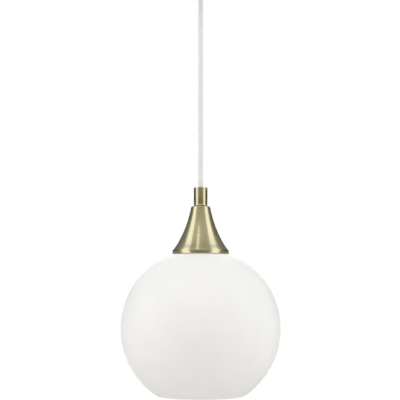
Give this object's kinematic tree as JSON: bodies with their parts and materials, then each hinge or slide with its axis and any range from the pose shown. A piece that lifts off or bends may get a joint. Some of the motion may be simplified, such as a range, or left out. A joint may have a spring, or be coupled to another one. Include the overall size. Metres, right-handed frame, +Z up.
{
  "type": "pendant ceiling light",
  "caption": "Pendant ceiling light with an open opal glass globe under a trumpet-shaped brass cap, hung from a ceiling cup on a round cord.",
  "frame": {"origin": "centre of the ceiling strap's top face, on the ceiling's surface", "axes": "+Z up, out of the lamp into the ceiling; the lamp hangs down -Z; +X along the ceiling strap; the camera side is -Y"},
  "size_m": [0.1992, 0.1992, 0.5595],
  "materials": {
    "antique_brass": "antique finish, fine brushed round the axis, satin lacquer",
    "contact_brass": "plain",
    "plated_steel": "zinc plated",
    "opal_glass": "opal white, satin gloss",
    "bulb_glass": "opal white",
    "white_sheath": "smooth white sheath",
    "core_brown": "smooth",
    "core_blue": "smooth",
    "core_green": "green with a yellow stripe",
    "white_moulding": "moulded, fine satin",
    "ceramic": "unglazed steatite",
    "silicone": "matt, translucent",
    "cap_aluminium": "rolled",
    "black_glass": "glossy"
  },
  "bodies": {
    "root": {"ceiling_bracket": "plated_steel", "ceiling_cup": "antique_brass", "cup_screw_left": "antique_brass", "cup_screw_right": "antique_brass", "terminal_block": "white_moulding", "block_screw_live_in": "contact_brass", "block_screw_live_out": "contact_brass", "block_screw_neutral_in": "contact_brass", "block_screw_neutral_out": "contact_brass", "block_screw_earth_in": "contact_brass", "block_screw_earth_out": "contact_brass", "block_fixing_screw": "plated_steel", "bracket_earth_screw": "contact_brass", "bracket_earth_lead": "core_green", "cord_grip": "antique_brass", "cord_grip_nut": "plated_steel", "cord_grip_screw": "antique_brass", "cord_upper_tail": "white_sheath", "upper_core_live": "core_brown", "upper_core_neutral": "core_blue", "upper_core_earth": "core_green"},
    "cord_link": {"cord_flex_link": "white_sheath"},
    "cord": {"suspension_cord": "white_sheath"},
    "lamp": {"cord_collar": "antique_brass", "collar_screw": "antique_brass", "trumpet_cap": "antique_brass", "threaded_nipple": "plated_steel", "lock_washer": "plated_steel", "nipple_nut": "plated_steel", "cord_lower_tail": "white_sheath", "lower_core_live": "core_brown", "lower_core_neutral": "core_blue", "lower_core_earth": "core_green", "holder_dome": "plated_steel", "dome_earth_screw": "contact_brass", "holder_skirt": "white_moulding", "contact_block": "ceramic", "thread_shell": "contact_brass", "centre_contact": "contact_brass", "side_contact": "contact_brass", "live_terminal": "contact_brass", "neutral_terminal": "contact_brass", "live_terminal_screw": "plated_steel", "neutral_terminal_screw": "plated_steel", "upper_washer": "silicone"},
    "shade": {"glass_globe": "opal_glass", "lower_washer": "silicone"},
    "ring": {"shade_ring": "white_moulding"},
    "bulb": {"bulb_envelope": "bulb_glass", "bulb_screw_cap": "cap_aluminium", "bulb_insulator": "black_glass", "bulb_contact_tip": "contact_brass"}
  },
  "joints": [
    {"name": "swing_front", "type": "hinge", "parent": "root", "child": "cord_link", "pos_m": [0, 0, -0.0553], "axis": [1, 0, 0], "range_deg": [-30, 30]},
    {"name": "swing_side", "type": "hinge", "parent": "cord_link", "child": "cord", "pos_m": [0, 0, -0.0706], "axis": [0, 1, 0], "range_deg": [-30, 30]},
    {"name": "cord_twist", "type": "hinge", "parent": "cord", "child": "lamp", "pos_m": [0, 0, -0.2992], "axis": [0, 0, 1], "range_deg": [-180, 180], "stiffness_Nm_per_rad": 0.002},
    {"name": "shade_travel", "type": "slide", "parent": "lamp", "child": "shade", "axis": [0, 0, -1], "range_m": [0, 0.0125]},
    {"name": "ring_turn", "type": "hinge", "parent": "shade", "child": "ring", "pos_m": [0, 0, -0.3955], "axis": [0, 0, -1], "range_deg": [0, 1801]},
    {"name": "bulb_travel", "type": "slide", "parent": "lamp", "child": "bulb", "axis": [0, 0, -1], "range_m": [0, 0.025]}
  ],
  "couplings": [
    {"joint": "ring_turn", "follows": "shade_travel", "rad_per_m": 2513.3}
  ]
}
